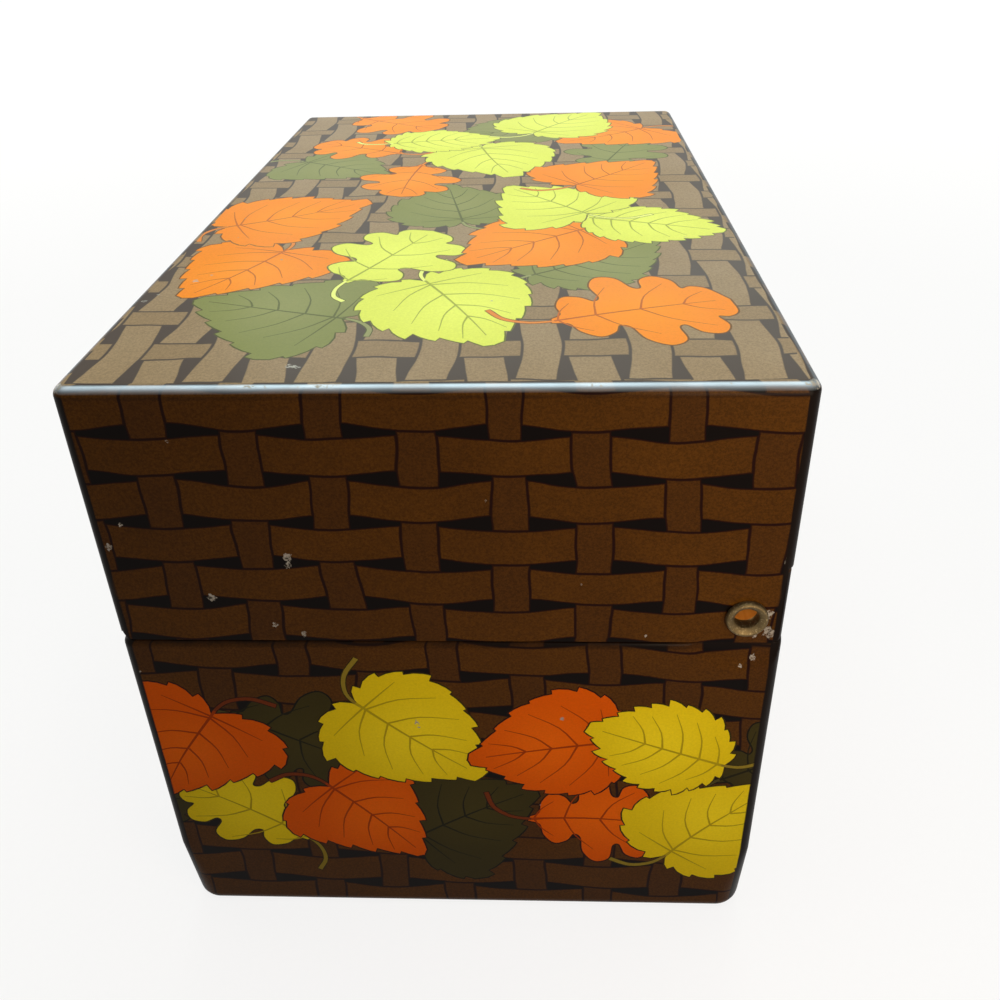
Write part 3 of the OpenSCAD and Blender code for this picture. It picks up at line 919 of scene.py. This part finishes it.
def make_base():
    """The pan, from its hemmed rim and inset neck down to its foot, and its bottom."""
    sheet = Sheet("base_shell")
    floor_v = BASE_FOLD * (1 - math.pi / 2)
    hinge_u = side_u(PIVOT_Y, base_point, PIVOT_Z)
    holes = eyelet_holes(hinge_u)

    # Outline of the unrolled sheet: along the bottom, then back along the rim
    foot = [(SEAM_U0, floor_v), (SEAM_U1, floor_v)]
    rim_u = sorted([SEAM_U0, SEAM_U1, *HEM_U] + [FRONT_U - u for u in HEM_U], reverse=True)
    rim = [(u, hem_level(u) - SHEET) for u in rim_u]

    folds = [BASE_FOLD - BASE_FOLD * math.radians(a) for a in (75, 60, 45, 30, 15, 0)]
    shoulder = [SHOULDER_LOW + SHOULDER_H * math.sin(math.radians(a)) for a in (0, 15, 30, 45, 60, 75, 90)]
    below, above = SHOULDER_LOW - 0.15, SHOULDER_TOP + 0.15
    walls = [BASE_FOLD + 0.2, 4.0, 6.5, 9.0, 11.0, FOOT_H, FOOT_H + 0.3, below]
    level = level_lines(folds + walls + shoulder + [above, SHOULDER_TOP + SHOULDER_H])

    def upright(drop):
        """Lines up the rounded corners, from the bottom to a drop below the rim."""
        places = corner_places(NEAR_STEPS + FAR_STEPS)
        return [[(u, floor_v), (u, hem_level(u) - SHEET - drop)] for u in places]

    grid = level + upright(0)
    # A finer net where the shoulder is pressed in round the hinge
    for centre, way in ((hinge_u, 1), (FRONT_U - hinge_u, -1)):
        for step in np.arange(-9, 5.1, 0.8):
            grid.append([(centre + way * step, 47.6), (centre + way * step, above)])
        for share in (0, 0.25, 0.5, 0.75, 1):
            r = SWEEP_R + DISH_RUN * share
            arc = [(centre + r * math.sin(a), PIVOT_Z - r * math.cos(a)) for a in np.linspace(-1.0, 1.0, 25)]
            grid.append([p for p in arc if p[1] < below])
    grid = [line for line in grid if len(line) > 1]

    leaves = band_of_leaves()
    known = ((36.8, 38.8, 0.42), (37.0, 37.9, 0.22), (1.2, 47.5, 0.3), (79.5, 50.2, 0.5), (78, 49, 0.25))
    known = [(FRONT_U + y, z, size) for y, z, size in known]
    flakes = chips(known, 16, (-150, 285), (4, 50), (0.12, 0.4), random.Random(5))
    shapes = [shape for layers in leaves for shape, _ in layers] + flakes
    verts, faces = fill(foot + rim, holes, grid, shapes)
    uv = verts[faces]
    ink = ink_of(uv, leaves, uv.mean(1)[:, 1] > SHOULDER_TOP)

    # Paint is worn through at the shoulder's corners, the foot is a little rubbed, and painted shade darkens
    # the shoulder in the seam under the lid's edge, and the upright corners
    marks = chip_marks(uv, flakes)
    v, turn = uv[..., 1], corner_turn(uv[..., 0])
    corner = np.hypot(turn, (v - SHOULDER_LOW - 0.3) * 0.8)
    marks[..., 0] = np.maximum(marks[..., 0], np.clip(1.7 - corner / 1.1, 0, 1) * 0.78)
    marks[..., 1] = np.clip(1 - np.abs(v - 0.8), 0, 1) * 0.12
    seam_v = (SHOULDER_LOW - 0.1, SHOULDER_LOW + 0.3, SHOULDER_TOP - 0.4, SHOULDER_TOP)
    marks[..., 2] = np.maximum(painted_corner_shade(turn), np.interp(v, seam_v, (0, 0.9, 0.9, 1.6)))
    sheet.add(base_point(uv, 0), PRINT, weave_on(uv, *BASE_WEAVE), ink, marks)

    # The inner face of the sheet stops at the edge of the hem
    drop = HEM_H - SHEET
    ends = rim_ends(verts, faces)
    on_rim = np.abs(ends[..., 1] - (hem_level(ends[..., 0]) - SHEET)) < NEAR
    inner_ends = ends - np.where(on_rim, drop, 0)[..., None] * (0, 1)
    inner_rim = [(u, v - drop) for u, v in rim]
    verts, faces = fill(foot + inner_rim, holes, level + upright(drop) + list(inner_ends))
    sheet.add(base_point(verts[faces], SHEET)[:, ::-1], LACQUER)

    # The hem turns over the rim and lies against the inside, with its cut edge at the bottom
    turned = [(SHEET * math.sin(a), SHEET * (1 - math.cos(a))) for a in np.linspace(0, math.pi, 7)]
    turned += [(-drop + 0.05, 2 * SHEET), (-drop, 2 * SHEET - 0.05), (-drop, SHEET)]
    hem, bottom = on_rim.all(1), both_at(ends[..., 1], floor_v)
    rows = [base_point(ends[hem] + (0, dv), depth) for dv, depth in turned]
    sheet.add_strip(rows[:-2], PRINT, DARK_BROWN)
    sheet.add_strip(rows[-3:], CUT)
    in_holes = ~(hem | bottom | both_at(np.abs(ends[..., 0] - HALF_L), ROUND_U / 2))
    sheet.add_strip([base_point(ends[in_holes], depth) for depth in (0, SHEET)], CUT)

    # The bottom, closed along the fold and a little rubbed
    fold = np.unique(ends[bottom].reshape(-1, 2), axis=0)
    for depth, slot, way in ((0, PRINT, -1), (SHEET, LACQUER, 1)):
        corners = plate(base_point(fold, depth), depth)
        sheet.add(corners[:, ::way], slot, 0.0, DARK_BROWN, (0, 0.3, 0, 0))

    add_laps(sheet, FOOT_H, SHOULDER_LOW - HEM_H - LAP_CLEAR)
    sheet.make("base", "base")


# The lid


def skirt_edge(tab_u):
    """The lower edge of the lid along the sheet, from the middle of the rear round and back to it."""
    front, tab = [], []
    for a in np.linspace(0, math.pi / 2, 9):
        across, up = 1 - math.cos(a), 1 - math.sin(a)
        front.append((FRONT_U + SKIRT_CORNER_R * across, LID_Z + SKIRT_CORNER_R * up))
    for a in np.linspace(0, math.pi / 2, 7):
        across, up = 1 - math.sin(a), 1 - math.cos(a)
        tab.append((tab_u - TAB_CORNER_R * across, LID_Z + TAB_CORNER_R * up))
    rear = [(tab_u, LID_Z + 5), (tab_u, REAR_SKIRT_Z), (SEAM_U1, REAR_SKIRT_Z)]
    half = [(2 * FRONT_U - u, v) for u, v in front[1:]][::-1] + front + tab + rear
    return [(FRONT_U - u, v) for u, v in half][::-1] + half


def make_lid():
    """The lid, from its skirts and hinge tabs up to its top."""
    sheet = Sheet("lid_shell")
    top_v = SKIRT_TOP + TOP_FOLD * math.pi / 2
    hinge_u = side_u(PIVOT_Y, lid_point, PIVOT_Z)
    tab_u = side_u(TAB_Y, lid_point, LID_Z + 2)
    holes = eyelet_holes(hinge_u)
    outline = skirt_edge(tab_u) + [(SEAM_U1, top_v), (SEAM_U0, top_v)]

    fold_angles = (0, 8, 16, 22, 28, 36, 44, 52, 60, 66, 73, 80, 86)
    folds = [SKIRT_TOP + TOP_FOLD * math.radians(a) for a in fold_angles]
    grid = level_lines([REAR_SKIRT_Z + 0.2, 66.0, 76.0, SKIRT_TOP - 0.28, SKIRT_TOP - 0.05] + folds)
    for u in corner_places(NEAR_STEPS):
        low = REAR_SKIRT_Z if abs(u - HALF_L) >= tab_u - HALF_L else LID_Z
        grid.append([(u, low - 1), (u, top_v)])
    # The hinge tabs get a line just above their lower edge
    for centre in (hinge_u, FRONT_U - hinge_u):
        grid.append([(centre - 6, LID_Z + 1.2), (centre + 3, LID_Z + 1.2)])

    rng = random.Random(9)
    known = ((23.3, 66.0, 0.62), (23.2, 64.8, 0.5), (13.1, 59.8, 0.6), (1.9, 67.5, 0.5), (4.2, 70.7, 0.3),
             (20.3, 55.5, 0.4), (23.7, 54.0, 0.42), (80.7, 57.4, 0.7), (80.9, 54.7, 0.9), (79.2, 54.2, 0.5),
             (66.0, 54.0, 0.2), (47.0, 74.0, 0.16), (58.0, 62.0, 0.14), (12.0, 82.0, 0.2),
             (82.2, 65.5, 0.6), (82.6, 64.9, 0.6))
    known = [(FRONT_U + y, z, size) for y, z, size in known]
    flakes = chips(known, 18, (-145, 130), (66, 86), (0.1, 0.35), rng)
    verts, faces = fill(outline, holes, grid, flakes)
    uv = verts[faces]

    # Paint is worn through where the corners meet the top fold
    marks = chip_marks(uv, flakes)
    turn = corner_turn(uv[..., 0])
    fold = np.degrees((uv[..., 1] - SKIRT_TOP) / TOP_FOLD)
    worn = np.hypot(turn, (fold - 54) / 44)
    marks[..., 0] = np.maximum(marks[..., 0], np.clip(1.6 - worn / 0.9, 0, 1) * 0.95)
    # The fold itself is rubbed, on the ends more than along the sides, and its band is a painted highlight:
    # pale polished tin laid where the light from above catches the fold
    away = np.abs(uv[..., 0] - HALF_L)
    share = np.interp(away, (67, 69, 84, 92, 150, 152), (0.2, 0.95, 1, 0.9, 0.9, 0.2))
    marks[..., 1] = np.interp(fold, (22, 36, 52, 66, 80), (0, 0.4, 1, 1, 0)) * share
    # Painted shade lies below the fold and on the upright corners, and above the fold the print is painted
    # paler as the sheen of the top
    upright = np.interp(fold, (0, 25), (1, 0))
    painted_shade = np.interp(fold, (-12, -2, 8, 18), (0, 0.6, 0.6, 0))
    marks[..., 2] = np.maximum(painted_corner_shade(turn) * upright, painted_shade)
    marks[..., 3] = smooth((fold - 58) / 28)
    sheet.add(lid_point(uv, 0), PRINT, weave_on(uv, *SKIRT_WEAVE), 0.0, marks)

    ends = rim_ends(verts, faces)
    verts, faces = fill(outline, holes, grid + list(ends))
    sheet.add(lid_point(verts[faces], SHEET)[:, ::-1], LACQUER)
    top = both_at(ends[..., 1], top_v)
    cut = ~(top | both_at(np.abs(ends[..., 0] - HALF_L), ROUND_U / 2))
    sheet.add_strip([lid_point(ends[cut], depth) for depth in (0, SHEET)], CUT)

    # The top, closed along the fold
    ring_uv = np.unique(ends[top].reshape(-1, 2), axis=0)
    ring = lid_point(ring_uv, 0)
    leaves = spray_of_leaves()
    known = ((6.4, 31.8, 0.5), (1.9, 24.8, 0.35), (25.5, 5.3, 0.55), (26.3, 5.0, 0.3), (3.0, 27.0, 0.2))
    known = [(HALF_L - away, y - HALF_W, size) for y, away, size in known]
    flakes = chips(known, 9, (-62, 62), (-38, 38), (0.1, 0.3), rng)
    # Leaves that run off the top stop just short of its fold, so that the two share their corners
    least, most = ring[:, :2].min(0) + TOP_GAP, ring[:, :2].max(0) - TOP_GAP
    shapes = [np.clip(shape, least, most) for layers in leaves for shape, _ in layers] + flakes
    corners = plate(ring, BOX_H, shapes)
    uv = corners[..., :2]
    marks = chip_marks(uv, flakes)
    # The whole top carries the painted sheen
    marks[..., 3] = 1.0
    sheet.add(corners, PRINT, corners * (1, 1, 0) - TOP_WEAVE, ink_of(uv, leaves), marks)
    sheet.add(plate(lid_point(ring_uv, SHEET), BOX_H - SHEET)[:, ::-1], LACQUER)

    add_laps(sheet, REAR_SKIRT_Z + LAP_CLEAR, SKIRT_TOP - LAP_CLEAR)
    sheet.make("lid", "lid")


# The eyelets


def eyelet_profile():
    """Half section of a hollow rivet: its barrel, with a rolled rim at each end."""
    roll = (EYELET_RIM - EYELET_BORE) / 4
    inner = roll - EYELET_WALL
    mouth_z, grip_z = 0.1, -2 * SHEET - 0.15
    outer_z, inner_z = 0.08 + inner, grip_z - inner

    def arc(z, r, start, stop):
        return [(r * math.cos(a), z + r * math.sin(a)) for a in np.radians(np.linspace(start, stop, 15))]

    def funnel(z, r, start, stop):
        """The outer rim: a quick roll outside its crest, and a long slope down into the barrel."""
        crest = 0.42
        line = []
        for x in np.cos(np.radians(np.linspace(start, stop, 19))):
            if x > crest:
                rise = math.sqrt(max(0.0, 1 - ((x - crest) / (1 - crest)) ** 2))
            else:
                rise = 1 - ((crest - x) / (1 + crest)) ** 1.7
            line.append((r * x, z + r * rise))
        return line

    mouth, grip = [(roll, mouth_z), (inner, mouth_z)], [(inner, grip_z), (roll, grip_z)]
    return (funnel(outer_z, roll, 180, 0) + mouth + funnel(outer_z, inner, 0, 180)
            + arc(inner_z, inner, 180, 360) + grip + arc(inner_z, roll, 360, 180))


def eyelet_tree():
    """Turns a half section about its axis, and sets the rivet in its seat."""
    tree = bpy.data.node_groups.new("turned_eyelet", "GeometryNodeTree")
    add = partial(add_node, tree)
    face = tree.interface
    face.new_socket("Section", in_out="INPUT", socket_type="NodeSocketGeometry")
    ids = {}
    for name, kind in (("Middle Radius", "Float"), ("Steps", "Int"), ("Seat", "Vector"), ("Turn", "Float"),
                       ("Unevenness", "Float"), ("Seed", "Float")):
        ids[name] = face.new_socket(name, in_out="INPUT", socket_type="NodeSocket" + kind).identifier
    face.new_socket("Rivet", in_out="OUTPUT", socket_type="NodeSocketGeometry")
    given = add("NodeGroupInput")
    section = add("GeometryNodeMeshToCurve", {"Mesh": given["Section"]})
    circle = {"Resolution": given["Steps"], "Radius": given["Middle Radius"]}
    path = add("GeometryNodeCurvePrimitiveCircle", circle)
    turned = add("GeometryNodeCurveToMesh", {"Curve": path, "Profile Curve": section})
    # The rims are uneven over about 1 mm
    noise = add("TexNoise", {"W": given["Seed"], "Scale": 900.0, "Detail": 1.0}, noise_dimensions="4D")
    push = add("VectorMath SUBTRACT", (noise["Color"], (0.5, 0.5, 0.5)))
    push = add("VectorMath SCALE", (push, given["Unevenness"]))
    uneven = add("GeometryNodeSetPosition", {"Geometry": turned, "Offset": push})
    spin = add("CombineXYZ", {"Y": given["Turn"]})
    seat = {"Geometry": uneven, "Translation": given["Seat"], "Rotation": spin}
    made = add("GeometryNodeRealizeInstances", {"Geometry": add("GeometryNodeTransform", seat)})
    brass = add("GeometryNodeSetMaterial", {"Geometry": made, "Material": AGED_BRASS})
    add("NodeGroupOutput", {"Rivet": brass})
    return tree, ids


def make_eyelets():
    """A rivet in each side, with its rolled rim outwards."""
    tree, ids = eyelet_tree()
    points = [(x * MM, z * MM, 0) for x, z in eyelet_profile()]
    edges = [(i, (i + 1) % len(points)) for i in range(len(points))]
    for name, side in (("right_eyelet", 1), ("left_eyelet", -1)):
        mesh = bpy.data.meshes.new(name + "_section")
        mesh.from_pydata(points, edges, [])
        obj = bpy.data.objects.new(name + "_rivet", mesh)
        bpy.context.collection.objects.link(obj)
        build = obj.modifiers.new("turned", "NODES")
        build.node_group = tree
        build[ids["Middle Radius"]] = (EYELET_RIM + EYELET_BORE) / 4 * MM
        build[ids["Steps"]] = EYELET_STEPS
        build[ids["Seat"]] = (side * HALF_L * MM, PIVOT_Y * MM, PIVOT_Z * MM)
        build[ids["Turn"]] = -side * math.pi / 2
        build[ids["Unevenness"]] = 0.03 * MM
        build[ids["Seed"]] = 3.0 + side
        bpy.context.view_layer.update()
        solid = bpy.data.meshes.new_from_object(obj.evaluated_get(bpy.context.evaluated_depsgraph_get()))
        obj.modifiers.clear()
        obj.data = solid
        shape = bmesh.new()
        shape.from_mesh(solid)
        bmesh.ops.remove_doubles(shape, verts=shape.verts, dist=1e-7)
        bmesh.ops.recalc_face_normals(shape, faces=shape.faces)
        shape.to_mesh(solid)
        shape.free()
        solid.polygons.foreach_set("use_smooth", np.ones(len(solid.polygons), bool))
        solid.set_sharp_from_angle(angle=math.radians(50))
        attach(obj, "base")
        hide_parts(name)


make_base()
make_lid()
make_eyelets()
